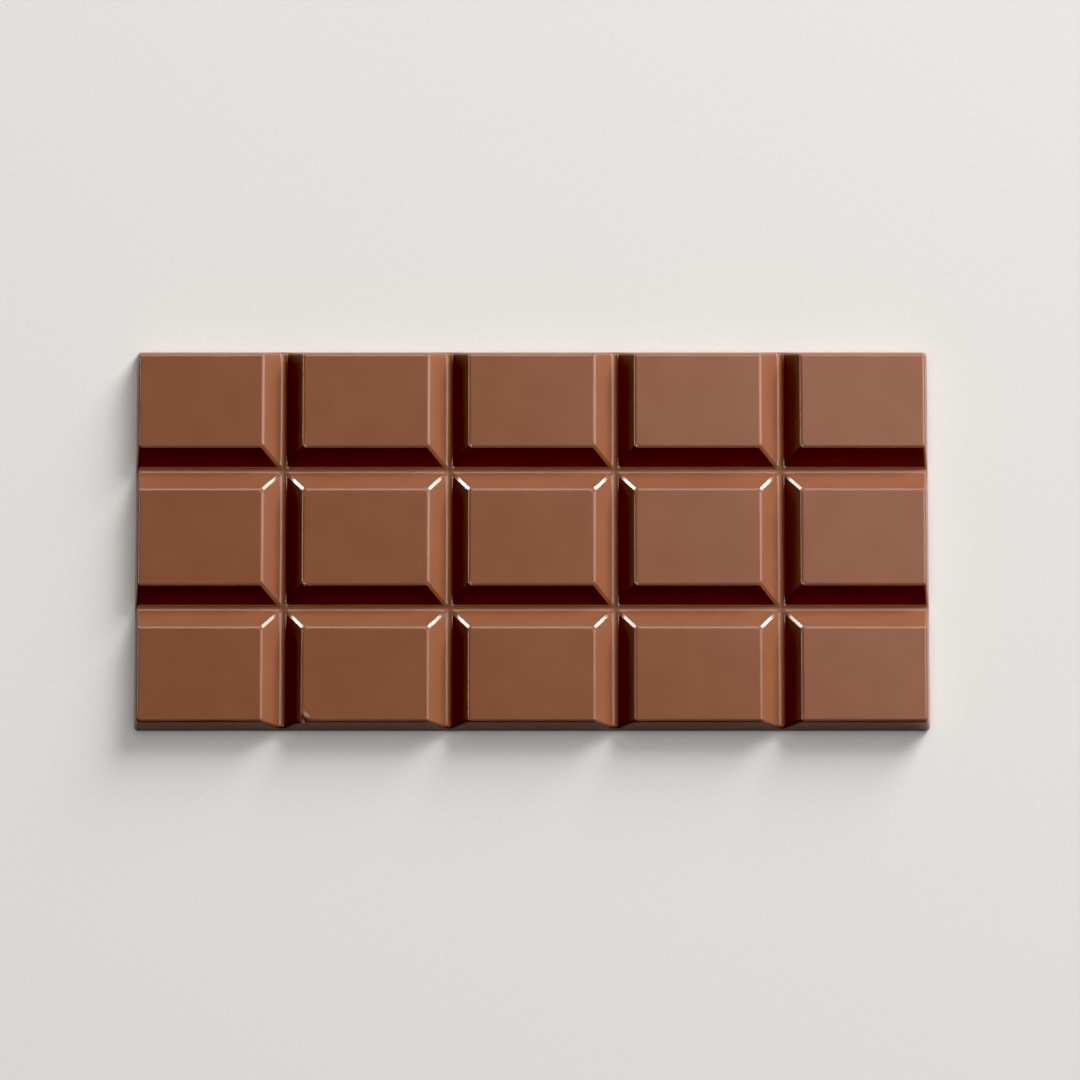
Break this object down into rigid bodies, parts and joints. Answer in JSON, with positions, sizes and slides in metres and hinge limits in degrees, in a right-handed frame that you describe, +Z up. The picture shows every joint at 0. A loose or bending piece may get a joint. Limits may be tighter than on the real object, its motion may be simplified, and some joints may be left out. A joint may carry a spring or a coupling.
{
  "type": "chocolate bar",
  "caption": "Moulded milk chocolate bar of flat-topped blocks parted by V-shaped snapping grooves with round floors, lying on its flat back.",
  "frame": {"origin": "middle of the flat back, on the surface that the bar lies on", "axes": "+X along the bar's long side, +Y along its short side, +Z up out of the moulded face"},
  "size_m": [0.1532, 0.0742, 0.0055],
  "materials": {
    "milk_chocolate": "satin moulded milk chocolate"
  },
  "bodies": {
    "root": {"chocolate_bar": "milk_chocolate"}
  },
  "joints": []
}
